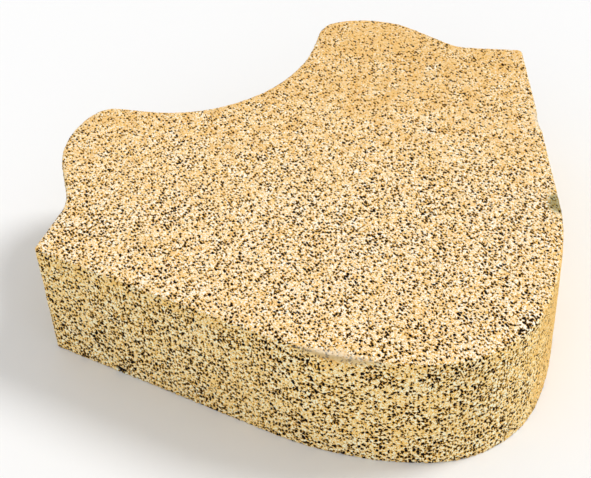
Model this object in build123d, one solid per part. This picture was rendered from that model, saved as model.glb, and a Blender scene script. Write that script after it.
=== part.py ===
from build123d import *
import os
from math import cos, radians, sin

# Interlocking concrete paving stone, pressed in a mould as one solid piece.
# Its plan is a wedge with a round nose. The opposite end is scalloped between two lobes, so the nose
# of the next stone nests in the scallop and a row of stones can run straight or turn in a curve.
# The nose points along -Y, the lobes along +Y, and the stone lies on the plane z = 0.
# Lengths are in millimetres. A slope is the angle in degrees to the line between the outer corners.

# Whole stone
stone_width = 260.0
stone_thickness = 60.0
corner_radius = 3.0
arris_radius = 1.5

# Front: two straight flanks that run together into the nose
flank_slope = 60.0
nose_shoulder_radius = 145.0
nose_tip_radius = 52.0
nose_tip_slope = 34.0

# Back: an end edge, a notch and a lobe on each side, and the scallop between the lobes
end_edge_length = 25.0
end_edge_slope = 39.0
notch_radius = 23.0
lobe_side_length = 20.0
lobe_side_slope = 71.0
lobe_shoulder_radius = 44.0
lobe_top_slope = 17.0
lobe_crest_radius = 12.0
scallop_side_length = 14.0
scallop_side_slope = 44.0

half_turn = 180.0

# The straight part of a flank ends where the arcs that follow it close on the middle line.
shoulder_reach = nose_shoulder_radius * sin(radians(flank_slope))
tip_reach = (nose_shoulder_radius - nose_tip_radius) * sin(radians(nose_tip_slope))
flank_length = (stone_width / 2 - shoulder_reach + tip_reach) / cos(radians(flank_slope))


def plan_face():
    """The stone's outline seen from above, with the origin midway between the outer corners."""
    with BuildSketch() as plan:
        with BuildLine():
            corner = (stone_width / 2, 0)
            # Front, from the right corner to the nose
            flank = PolarLine(corner, flank_length, half_turn + flank_slope)
            shoulder = JernArc(flank @ 1, flank % 1, nose_shoulder_radius, nose_tip_slope - flank_slope)
            JernArc(shoulder @ 1, shoulder % 1, nose_tip_radius, -2 * nose_tip_slope)
            # Back, from the right corner to the scallop
            end = PolarLine(corner, end_edge_length, half_turn - end_edge_slope)
            notch = JernArc(end @ 1, end % 1, notch_radius, end_edge_slope - lobe_side_slope)
            lobe_side = PolarLine(notch @ 1, lobe_side_length, direction=notch % 1)
            lobe_turn = lobe_side_slope - lobe_top_slope
            lobe = JernArc(lobe_side @ 1, lobe_side % 1, lobe_shoulder_radius, lobe_turn)
            crest = JernArc(lobe @ 1, lobe % 1, lobe_crest_radius, lobe_top_slope + scallop_side_slope)
            rim = PolarLine(crest @ 1, scallop_side_length, direction=crest % 1)
            scallop_radius = (rim @ 1).X / sin(radians(scallop_side_slope))
            JernArc(rim @ 1, rim % 1, scallop_radius, -2 * scallop_side_slope)
            # Left side
            mirror([flank, shoulder, end, notch, lobe_side, lobe, crest, rim], about=Plane.YZ)
        make_face()
        across = plan.vertices().sort_by(Axis.X)
        fillet([across[0], across[-1]], corner_radius)
    return plan.sketch


def paving_stone():
    """The moulded stone, with its upper edge eased and its bed in the plane z = 0."""
    with BuildPart() as stone:
        add(plan_face())
        extrude(amount=stone_thickness)
        fillet(stone.faces().sort_by(Axis.Z)[-1].edges(), arris_radius)
    box = stone.part.bounding_box()
    return Pos(0, -box.center().Y, 0) * stone.part


os.makedirs("parts", exist_ok=True)
export_step(paving_stone(), "parts/paving_stone.step")
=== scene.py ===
from math import radians
import bpy
from mathutils import Matrix, Vector


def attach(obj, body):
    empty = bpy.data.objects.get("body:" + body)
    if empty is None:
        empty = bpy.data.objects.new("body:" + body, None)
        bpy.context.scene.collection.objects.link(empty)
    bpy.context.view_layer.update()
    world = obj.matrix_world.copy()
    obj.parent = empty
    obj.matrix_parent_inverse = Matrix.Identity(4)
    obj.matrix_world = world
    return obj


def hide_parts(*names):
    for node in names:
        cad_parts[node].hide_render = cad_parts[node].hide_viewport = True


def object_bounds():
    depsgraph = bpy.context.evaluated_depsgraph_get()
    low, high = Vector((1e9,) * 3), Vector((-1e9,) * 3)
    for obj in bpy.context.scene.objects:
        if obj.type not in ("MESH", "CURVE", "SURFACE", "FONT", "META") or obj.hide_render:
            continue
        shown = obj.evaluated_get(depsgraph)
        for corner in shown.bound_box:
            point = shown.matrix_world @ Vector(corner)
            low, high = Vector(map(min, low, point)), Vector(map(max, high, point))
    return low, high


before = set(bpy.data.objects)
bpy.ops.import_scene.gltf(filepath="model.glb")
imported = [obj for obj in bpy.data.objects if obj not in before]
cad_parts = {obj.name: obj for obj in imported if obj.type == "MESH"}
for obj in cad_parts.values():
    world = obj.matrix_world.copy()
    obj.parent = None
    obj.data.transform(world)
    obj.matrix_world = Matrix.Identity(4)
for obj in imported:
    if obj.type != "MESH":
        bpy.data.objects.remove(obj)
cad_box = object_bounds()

# Paving stone
# Dry concrete mix, pressed in a steel mould and cured in one piece, with no facing layer.
# Its sand grains stand proud of the paste, and the voids between them show as dark pores.
face_step = 0.0006
most_triangles = 196000
bed_keep_share = 0.03
weld_gap = 1e-6
bed_reach = 0.0004
map_margin_share = 0.004

bpy.ops.object.select_all(action="DESELECT")
stone = bpy.data.objects.new("pressed_stone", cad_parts["paving_stone"].data.copy())
bpy.context.scene.collection.objects.link(stone)
stone.select_set(True)
bpy.context.view_layer.objects.active = stone
bpy.ops.object.mode_set(mode="EDIT")
bpy.ops.mesh.select_all(action="SELECT")
bpy.ops.mesh.remove_doubles(threshold=weld_gap)
bpy.ops.object.mode_set(mode="OBJECT")
even = stone.modifiers.new("even_faces", "REMESH")
even.mode = "VOXEL"
even.voxel_size = face_step
bpy.ops.object.modifier_apply(modifier=even.name)

# The bed is hidden in use, so it keeps fewer faces than the sides and the walking face.
for face in stone.data.polygons:
    face.select = face.center.z < bed_reach
bpy.ops.object.mode_set(mode="EDIT")
bpy.ops.mesh.decimate(ratio=bed_keep_share)

# The grain map lays every face flat at its real size, in metres, so that pores stay round on every side.
# The other map holds the same pieces side by side, for a picture of the finished surface.
stone.data.uv_layers.new(name="grain_map")
bpy.ops.mesh.select_all(action="SELECT")
bpy.ops.uv.cube_project(cube_size=1.0, correct_aspect=False)
stone.data.uv_layers.active = stone.data.uv_layers.new(name="OFBake")
bpy.ops.uv.select_all(action="SELECT")
bpy.ops.uv.pack_islands(shape_method="AABB", margin=map_margin_share)
bpy.ops.object.mode_set(mode="OBJECT")


def feed(tree, socket, value):
    """Links a socket to another node's output, or sets it to a plain value."""
    if isinstance(value, bpy.types.NodeSocket):
        tree.links.new(value, socket)
    else:
        socket.default_value = value


def put(tree, kind, options, **inputs):
    """Adds one node with its options, and feeds its inputs by name."""
    node = tree.nodes.new(kind)
    for name, value in options.items():
        setattr(node, name, value)
    for name, value in inputs.items():
        feed(tree, node.inputs[name], value)
    return node


def calc(tree, operation, *terms):
    """Adds a sum of plain numbers and sockets, and returns its result."""
    node = put(tree, "ShaderNodeMath", {"operation": operation})
    for socket, term in zip(node.inputs, terms):
        feed(tree, socket, term)
    return node.outputs[0]


def vector_calc(tree, operation, *terms, output="Vector"):
    """Adds a vector sum, and returns its result."""
    node = put(tree, "ShaderNodeVectorMath", {"operation": operation})
    for socket, term in zip(node.inputs, terms):
        feed(tree, socket, term)
    return node.outputs[output]


def total(tree, amounts):
    """Adds up several values."""
    result = amounts[0]
    for amount in amounts[1:]:
        result = calc(tree, "ADD", result, amount)
    return result


def span(tree, value, low, high, start, end, interpolation="SMOOTHSTEP"):
    """Carries a value from the range low to high over to the range start to end."""
    node = put(tree, "ShaderNodeMapRange", {"interpolation_type": interpolation}, Value=value)
    feed(tree, node.inputs["From Min"], low)
    feed(tree, node.inputs["From Max"], high)
    feed(tree, node.inputs["To Min"], start)
    feed(tree, node.inputs["To Max"], end)
    return node.outputs["Result"]


def noise(tree, place, size, detail=0.0, dimensions="3D", output=0):
    """Adds soft noise with lumps of the given size, and returns its value or another output."""
    node = put(tree, "ShaderNodeTexNoise", {"noise_dimensions": dimensions},
               Vector=place, Scale=1 / size, Detail=detail)
    return node.outputs[output]


# Pores are uneven dots, a little longer than wide, with a radius from the smallest to the largest by chance.
# A smallest radius below zero leaves some places with no pore. Crevices are short cracks between grains.
# Openness above zero makes the pores wider, and openness below zero makes them fewer.
pore_spacing = 0.00133
pore_scatter_share = 0.9
pore_stretch = 1.3
pore_bend_size = 0.0008
pore_bend = 0.0008
smallest_pore = -0.00004
largest_pore = 0.00053
open_gain = 0.00013
sparse_gain = 0.0005
crevice_spacing = 0.0022
crevice_width = 0.00024
crevice_run = 0.0015
crevice_shut = -0.00004
crevice_open_gain = 0.04
crevice_start = 0.61
crevice_full = 0.66


def bent_map(tree, flat):
    """The grain map stretched, and the same map with its lines bent, so that pores come out uneven."""
    stretched = vector_calc(tree, "MULTIPLY", flat, (1, 1 / pore_stretch, 1))
    bend = noise(tree, stretched, pore_bend_size, dimensions="2D", output="Color")
    return stretched, vector_calc(tree, "MULTIPLY_ADD", bend, (pore_bend, pore_bend, 0), stretched)


def dots_gap(tree, bent, spacing, scatter_share, smallest, largest, gain):
    """Metres from a place to the edge of its nearest dot, and less than zero inside it."""
    dots = put(tree, "ShaderNodeTexVoronoi", {"voronoi_dimensions": "2D"},
               Vector=bent, Scale=1 / spacing, Randomness=scatter_share)
    chance = put(tree, "ShaderNodeSeparateXYZ", {}, Vector=dots.outputs["Color"]).outputs["X"]
    reach = calc(tree, "ADD", span(tree, chance, 0, 1, smallest, largest, "LINEAR"), gain)
    return calc(tree, "SUBTRACT", calc(tree, "MULTIPLY", dots.outputs["Distance"], spacing), reach)


def pore_gap(tree, flat, openness):
    """Metres from a place on the grain map to its nearest pore or crevice, and less than zero inside it."""
    stretched, bent = bent_map(tree, flat)
    smallest = calc(tree, "MULTIPLY_ADD", calc(tree, "MINIMUM", openness, 0), sparse_gain, smallest_pore)
    wider = calc(tree, "MULTIPLY", calc(tree, "MAXIMUM", openness, 0), open_gain)
    pores = dots_gap(tree, bent, pore_spacing, pore_scatter_share, smallest, largest_pore, wider)
    runs = noise(tree, stretched, crevice_run, detail=1.0, dimensions="2D")
    runs = calc(tree, "MULTIPLY_ADD", openness, crevice_open_gain, runs)
    width = span(tree, runs, crevice_start, crevice_full, crevice_shut, crevice_width)
    crevices = put(tree, "ShaderNodeTexVoronoi",
                   {"voronoi_dimensions": "2D", "feature": "DISTANCE_TO_EDGE"},
                   Vector=bent, Scale=1 / crevice_spacing).outputs["Distance"]
    crevices = calc(tree, "SUBTRACT", calc(tree, "MULTIPLY", crevices, crevice_spacing), width)
    return calc(tree, "MINIMUM", pores, crevices)


# Marks of use and of the mould: centre, half sizes along and across and in height, and turn in degrees
flaked_arris = ((-0.0545, -0.0822, 0.0588), (0.020, 0.0030, 0.0030), -47.7)
chipped_arris = ((0.1016, -0.0080, 0.0595), (0.009, 0.0035, 0.004), 58.1)
dirt_spot = ((0.0702, -0.0588, 0.0595), (0.009, 0.0042, 0.006), 60.0)
bed_hollow = ((-0.1119, 0.0092, 0.0021), (0.0044, 0.0030, 0.0018), -60.0)
open_spots = [
    ((0.0165, -0.1080, 0.0595), (0.011, 0.0040, 0.005), 30.0),
    ((0.0851, 0.0526, 0.0600), (0.004, 0.003, 0.003), 0.0),
    ((0.0548, 0.0122, 0.0600), (0.003, 0.003, 0.003), 0.0),
    ((-0.1244, 0.0309, 0.0157), (0.003, 0.003, 0.003), 0.0),
]
ragged_size = 0.002
patch_edge = 1.5
patch_core = 1.0


def patch(tree, place, centre, half_sizes, turn):
    """An oval patch of the surface with a ragged edge: 1 in its middle, and 0 outside it."""
    turned = put(tree, "ShaderNodeVectorRotate", {"rotation_type": "Z_AXIS"},
                 Vector=place, Center=centre, Angle=radians(-turn)).outputs["Vector"]
    shares = vector_calc(tree, "DIVIDE", vector_calc(tree, "SUBTRACT", turned, centre), half_sizes)
    reach = vector_calc(tree, "LENGTH", shares, output="Value")
    ragged = calc(tree, "ADD", reach, noise(tree, place, ragged_size, detail=1.0))
    return span(tree, ragged, patch_edge, patch_core, 0, 1)


relief = bpy.data.node_groups.new("pressed_relief", "GeometryNodeTree")
relief.interface.new_socket("Geometry", in_out="INPUT", socket_type="NodeSocketGeometry")
relief.interface.new_socket("Geometry", in_out="OUTPUT", socket_type="NodeSocketGeometry")
surface = put(relief, "NodeGroupInput", {}).outputs["Geometry"]
place = put(relief, "GeometryNodeInputPosition", {}).outputs["Position"]
place_parts = put(relief, "ShaderNodeSeparateXYZ", {}, Vector=place)
facing = put(relief, "GeometryNodeInputNormal", {}).outputs["Normal"]
facing_parts = put(relief, "ShaderNodeSeparateXYZ", {}, Vector=facing)
flat = put(relief, "GeometryNodeInputNamedAttribute", {"data_type": "FLOAT_VECTOR"},
           Name="grain_map").outputs["Attribute"]
flaked = patch(relief, place, *flaked_arris)
chipped = patch(relief, place, *chipped_arris)
worn = calc(relief, "MAXIMUM", flaked, chipped)
dirt = patch(relief, place, *dirt_spot)
hollow = patch(relief, place, *bed_hollow)
opened = total(relief, [patch(relief, place, *spot) for spot in open_spots])

# The sides are told from the walking face by the tilt of the surface.
level_tilt = 0.9
upright_tilt = 0.4
side = span(relief, facing_parts.outputs["Z"], level_tilt, upright_tilt, 0, 1)

# The walking face is more open towards the nose and the left, and closer towards the right lobe.
closing_direction = (0.5, 0.85, 0)
closing_start = -0.01
closing_end = 0.11
near_top_open = 0.5
far_top_open = -0.6
across = vector_calc(relief, "DOT_PRODUCT", place, closing_direction, output="Value")
top_open = span(relief, across, closing_start, closing_end, near_top_open, far_top_open, "LINEAR")

# The sides are open, apart from a shoulder to the right of the nose, turned towards the lamp on the right:
# partly smoother paste, partly painted light, with fewer dark pores where the light falls.
# It fades out unevenly towards the nose and the right flank.
shoulder_blotch_size = 0.012
shoulder_waver = 0.8
shoulder_start = 0.4
shoulder_full = 1.2
shoulder_end_waver = -0.06
shoulder_end_start = -0.055
shoulder_end_full = -0.1
shoulder_least_share = 0.3
open_side = 1.0
smooth_side = -0.65
uneven = noise(relief, place, shoulder_blotch_size, detail=2.0)
turned_right = calc(relief, "MULTIPLY_ADD", uneven, shoulder_waver, facing_parts.outputs["X"])
near_nose = calc(relief, "MULTIPLY_ADD", uneven, shoulder_end_waver, place_parts.outputs["Y"])
lit_smooth_shoulder = calc(relief, "MULTIPLY",
                span(relief, turned_right, shoulder_start, shoulder_full, 0, 1),
                span(relief, near_nose, shoulder_end_start, shoulder_end_full, shoulder_least_share, 1))

# Under the upper edge, the sides are closer in some stretches and more open in others.
band_height = 0.009
band_size = 0.02
band_low = 0.48
band_high = 0.6
band_open = 0.3
band_close = -0.6
thickness = cad_box[1][2]
stretches = noise(relief, place, band_size, detail=1.0)
stretches = span(relief, stretches, band_low, band_high, band_open, band_close)
band = span(relief, place_parts.outputs["Z"], thickness - band_height, thickness - band_height / 2, 0, 1)
side_open = calc(relief, "ADD",
                 span(relief, lit_smooth_shoulder, 0, 1, open_side, smooth_side, "LINEAR"),
                 calc(relief, "MULTIPLY", stretches, band))

# Pores gather in loose clusters, and wide parts of the stone are a little more or less open.
noise_low = 0.3
noise_high = 0.7
drift_size = 0.03
drift_reach = 0.25
cluster_size = 0.006
cluster_close = -0.6
cluster_open = 0.55
worn_close = -1.2
spot_open = 1.5
drift = noise(relief, place, drift_size, detail=1.0)
cluster = noise(relief, place, cluster_size, detail=1.0)
openness = total(relief, [
    span(relief, side, 0, 1, top_open, side_open, "LINEAR"),
    span(relief, drift, noise_low, noise_high, -drift_reach, drift_reach, "LINEAR"),
    span(relief, cluster, noise_low, noise_high, cluster_close, cluster_open, "LINEAR"),
    calc(relief, "MULTIPLY", worn, worn_close),
    calc(relief, "MULTIPLY", opened, spot_open),
])
masks = {"openness": openness, "side": side, "worn": worn, "dirt": dirt, "hollow": hollow}
for name, value in masks.items():
    surface = put(relief, "GeometryNodeStoreNamedAttribute", {"data_type": "FLOAT", "domain": "POINT"},
                  Geometry=surface, Name=name, Value=value).outputs["Geometry"]

# Everything is cut inwards from the mould's walls: pores, lumps of grains, slow swells and the marks.
pit_slope = 1.6
pit_depth = 0.0008
lump_size = 0.0026
lump_depth = 0.00014
swell_size = 0.018
swell_depth = 0.0002
flake_depth = 0.0003
chip_depth = 0.0007
hollow_depth = 0.002
inside_pore = calc(relief, "MINIMUM", pore_gap(relief, flat, openness), 0)
pit = calc(relief, "MINIMUM", calc(relief, "MULTIPLY", inside_pore, -pit_slope), pit_depth)
lumps = noise(relief, place, lump_size)
swells = noise(relief, place, swell_size, detail=2.0)
depth = total(relief, [
    pit,
    span(relief, lumps, noise_high, noise_low, 0, lump_depth, "LINEAR"),
    span(relief, swells, noise_high, noise_low, 0, swell_depth, "LINEAR"),
    calc(relief, "MULTIPLY", flaked, flake_depth),
    calc(relief, "MULTIPLY", chipped, chip_depth),
    calc(relief, "MULTIPLY", hollow, hollow_depth),
])
inward = vector_calc(relief, "MULTIPLY", facing, calc(relief, "MULTIPLY", depth, -1))
rough = put(relief, "GeometryNodeSetPosition", {}, Geometry=surface, Offset=inward)
put(relief, "NodeGroupOutput", {}, Geometry=rough.outputs["Geometry"])
pressing = stone.modifiers.new("pressed_relief", "NODES")
pressing.node_group = relief
bpy.ops.object.modifier_apply(modifier=pressing.name)
thin = stone.modifiers.new("fewer_faces", "DECIMATE")
stone.data.calc_loop_triangles()
thin.ratio = most_triangles / len(stone.data.loop_triangles)
bpy.ops.object.modifier_apply(modifier=thin.name)
bpy.ops.object.shade_smooth()

# No grain stands out past the walls of the mould.
for point in stone.data.vertices:
    point.co = [min(max(value, low), high) for value, low, high in zip(point.co, *cad_box)]


def ramp(tree, value, stops):
    """Adds a colour ramp with the given places and colours, and returns its colour."""
    node = put(tree, "ShaderNodeValToRGB", {}, Fac=value)
    steps = node.color_ramp.elements
    while len(steps) < len(stops):
        steps.new(1.0)
    for step, (share, colour) in zip(steps, stops):
        step.position = share
        step.color = (*colour, 1)
    return node.outputs["Color"]


def blend(tree, first, second, share, kind="MIX"):
    """Mixes two colours, or multiplies them, by a share of the second."""
    node = put(tree, "ShaderNodeMix", {"data_type": "RGBA", "blend_type": kind}, Factor=share)
    feed(tree, node.inputs["A"], first)
    feed(tree, node.inputs["B"], second)
    return node.outputs["Result"]


# From the floor of a pore to the middle of a grain: black, brown and orange lip, then buff; the black floor
# and brown lip are painted shade in the pores and crevices, which the mesh also cuts as pits.
concrete_roughness = 0.9
concrete_specular = 0.2
lowest_shade = -0.0002
highest_shade = 0.0006
grain_size = 0.0006
grain_shift = 0.0001
grain_colours_and_pore_shade = [
    (0.15, (0.004, 0.0015, 0.0005)),
    (0.18, (0.08, 0.018, 0.001)),
    (0.21, (0.50, 0.19, 0.015)),
    (0.26, (0.90, 0.50, 0.09)),
    (0.36, (0.97, 0.60, 0.17)),
    (0.47, (0.97, 0.64, 0.24)),
    (0.70, (0.96, 0.66, 0.28)),
]
concrete = bpy.data.materials.new("buff_concrete")
concrete.use_nodes = True
tree = concrete.node_tree
skin = tree.nodes["Principled BSDF"]
skin.inputs["Roughness"].default_value = concrete_roughness
skin.inputs["Specular IOR Level"].default_value = concrete_specular
stone_place = put(tree, "ShaderNodeTexCoord", {}).outputs["Object"]
grain_map = put(tree, "ShaderNodeUVMap", {"uv_map": "grain_map"}).outputs["UV"]
skin_masks = {name: put(tree, "ShaderNodeAttribute", {"attribute_name": name}).outputs["Fac"]
              for name in masks}
gap = pore_gap(tree, grain_map, skin_masks["openness"])
grain = noise(tree, stone_place, grain_size)
shade = calc(tree, "ADD", gap, span(tree, grain, 0, 1, -grain_shift, grain_shift, "LINEAR"))
grains = ramp(tree, span(tree, shade, lowest_shade, highest_shade, 0, 1, "LINEAR"), grain_colours_and_pore_shade)

# Pale flecks are bare grains of sand, more of them where the concrete is open.
fleck_size = 0.00055
fleck_gap = 0.00007
fleck_low = 0.545
fleck_high = 0.6
fleck_open_gain = 0.12
fleck_side_gain = -0.06
fleck_tint = (0.98, 0.96, 0.83, 1)
flecks = total(tree, [
    noise(tree, stone_place, fleck_size),
    calc(tree, "MULTIPLY", skin_masks["openness"], fleck_open_gain),
    calc(tree, "MULTIPLY", skin_masks["side"], fleck_side_gain),
])
flecks = calc(tree, "MULTIPLY",
              span(tree, flecks, fleck_low, fleck_high, 0, 1),
              span(tree, gap, fleck_gap, 2 * fleck_gap, 0, 1))
grains = blend(tree, grains, fleck_tint, flecks)

# The sides are a little yellower than the walking face, partly their own paste and partly painted shade, the
# warmer hue of a flank in shade, given to every side. Paste that closes the pores is more orange.
side_paste_and_shade_tint = (0.98, 1.0, 0.88, 1)
paste_tint = (0.90, 0.84, 0.76, 1)
paste_start = 0.35
paste_full = -0.65
paste = span(tree, skin_masks["openness"], paste_start, paste_full, 0, 1)
grains = blend(tree, grains, side_paste_and_shade_tint, skin_masks["side"], "MULTIPLY")
grains = blend(tree, grains, paste_tint, paste, "MULTIPLY")

# The flaked and chipped edges are paler above and greyer on the side.
# The dirt spot is grey green, and the hollow, which the mesh also cuts, is painted dark with shade.
worn_tint = (0.92, 0.84, 0.68, 1)
worn_side_tint = (0.56, 0.46, 0.29, 1)
worn_share = 0.6
dirt_tint = (0.38, 0.42, 0.34, 1)
hollow_painted_shade = (0.006, 0.004, 0.003, 1)
hollow_shade_start = 0.1
hollow_shade_full = 0.6
worn_shade = blend(tree, worn_tint, worn_side_tint, skin_masks["side"])
grains = blend(tree, grains, worn_shade, calc(tree, "MULTIPLY", skin_masks["worn"], worn_share))
grains = blend(tree, grains, dirt_tint, skin_masks["dirt"], "MULTIPLY")
grains = blend(tree, grains, hollow_painted_shade, span(tree, skin_masks["hollow"], hollow_shade_start, hollow_shade_full, 0, 1))

# Brown specks are painted shade in fine shallow pores, too small for the mesh to cut.
speck_spacing = 0.0009
speck_scatter_share = 1.0
smallest_speck = -0.0003
largest_speck = 0.00027
speck_edge = 0.00008
speck_share = 0.5
fine_pore_shades = [
    (0.0, (1.0, 1.0, 1.0)),
    (0.5, (0.80, 0.58, 0.32)),
    (1.0, (0.22, 0.09, 0.02)),
]
bent = bent_map(tree, grain_map)[1]
speck_gap = dots_gap(tree, bent, speck_spacing, speck_scatter_share, smallest_speck, largest_speck, 0)
speck = span(tree, speck_gap, speck_edge, -speck_edge, 0, speck_share, "LINEAR")
speckled = blend(tree, grains, ramp(tree, speck, fine_pore_shades), 1.0, "MULTIPLY")
feed(tree, skin.inputs["Base Color"], speckled)

# The rims of the pores are finer than the faces of the mesh, so a bump rounds them over.
bump_depth = 0.00025
bump_rise = 0.00045
bump_share = 0.4
rims = span(tree, gap, -bump_depth, bump_rise, 0, bump_depth + bump_rise)
bump = put(tree, "ShaderNodeBump", {}, Height=rims, Distance=bump_share)
feed(tree, skin.inputs["Normal"], bump.outputs["Normal"])
stone.data.materials.clear()
stone.data.materials.append(concrete)
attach(stone, "root")
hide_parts("paving_stone")

# Floor
# A sheet of matt white paper, laid flat under the stone as in a photo studio.
# It is wide enough to fill the picture from every side.
floor_size = 12.0
paper_colour = (0.86, 0.86, 0.86, 1)
paper_roughness = 1.0
paper_specular = 0.0
bpy.ops.object.select_all(action="DESELECT")
bpy.ops.mesh.primitive_plane_add(size=floor_size)
floor = bpy.context.active_object
floor.name = "floor"
paper = bpy.data.materials.new("white_paper")
paper.use_nodes = True
sheet = paper.node_tree.nodes["Principled BSDF"]
sheet.inputs["Base Color"].default_value = paper_colour
sheet.inputs["Roughness"].default_value = paper_roughness
sheet.inputs["Specular IOR Level"].default_value = paper_specular
floor.data.materials.append(paper)

# Light
# Even white light from all round, with a soft lamp high on the right
# and a weaker, wider one low in front on the left.
sky_colour = (1, 1, 1, 1)
sky_strength = 0.67
lamps = {
    "key": {"strength": 1.7, "width": 20, "stands": (1.0, -0.25, 1.2)},
    "fill": {"strength": 0.5, "width": 60, "stands": (-0.7, -0.8, 0.5)},
}
sky = bpy.data.worlds.new("studio")
bpy.context.scene.world = sky
sky.use_nodes = True
sky.node_tree.nodes["Background"].inputs["Color"].default_value = sky_colour
sky.node_tree.nodes["Background"].inputs["Strength"].default_value = sky_strength
for name, facts in lamps.items():
    light = bpy.data.lights.new(name, "SUN")
    light.energy = facts["strength"]
    light.angle = radians(facts["width"])
    lamp = bpy.data.objects.new(name, light)
    bpy.context.scene.collection.objects.link(lamp)
    lamp.rotation_euler = Vector(facts["stands"]).to_track_quat("Z", "Y").to_euler()

# Camera
# A plain camera at the photograph's angle: in front of the stone, left of its nose and above it.
# Its focal length is in pixels of a picture of the given width.
camera_azimuth = -28.696
camera_elevation = 42.316
camera_roll = 3.461
camera_distance = 0.655042
focal_pixels = 1346.602
picture_width = 591
sensor_width = 36.0
nearest_view = 0.01
aim = Vector((-0.002572, 0.0415205, 0.0))
lens = bpy.data.cameras.new("camera")
lens.sensor_width = sensor_width
lens.lens = sensor_width * focal_pixels / picture_width
lens.clip_start = nearest_view
camera = bpy.data.objects.new("camera", lens)
bpy.context.scene.collection.objects.link(camera)
swing = Matrix.Rotation(radians(camera_azimuth), 4, "Z")
tilt = Matrix.Rotation(radians(90 - camera_elevation), 4, "X")
back = Matrix.Translation((0, 0, camera_distance))
roll = Matrix.Rotation(radians(-camera_roll), 4, "Z")
camera.matrix_world = Matrix.Translation(aim) @ swing @ tilt @ back @ roll
bpy.context.scene.camera = camera
bpy.context.scene.view_settings.view_transform = "Standard"
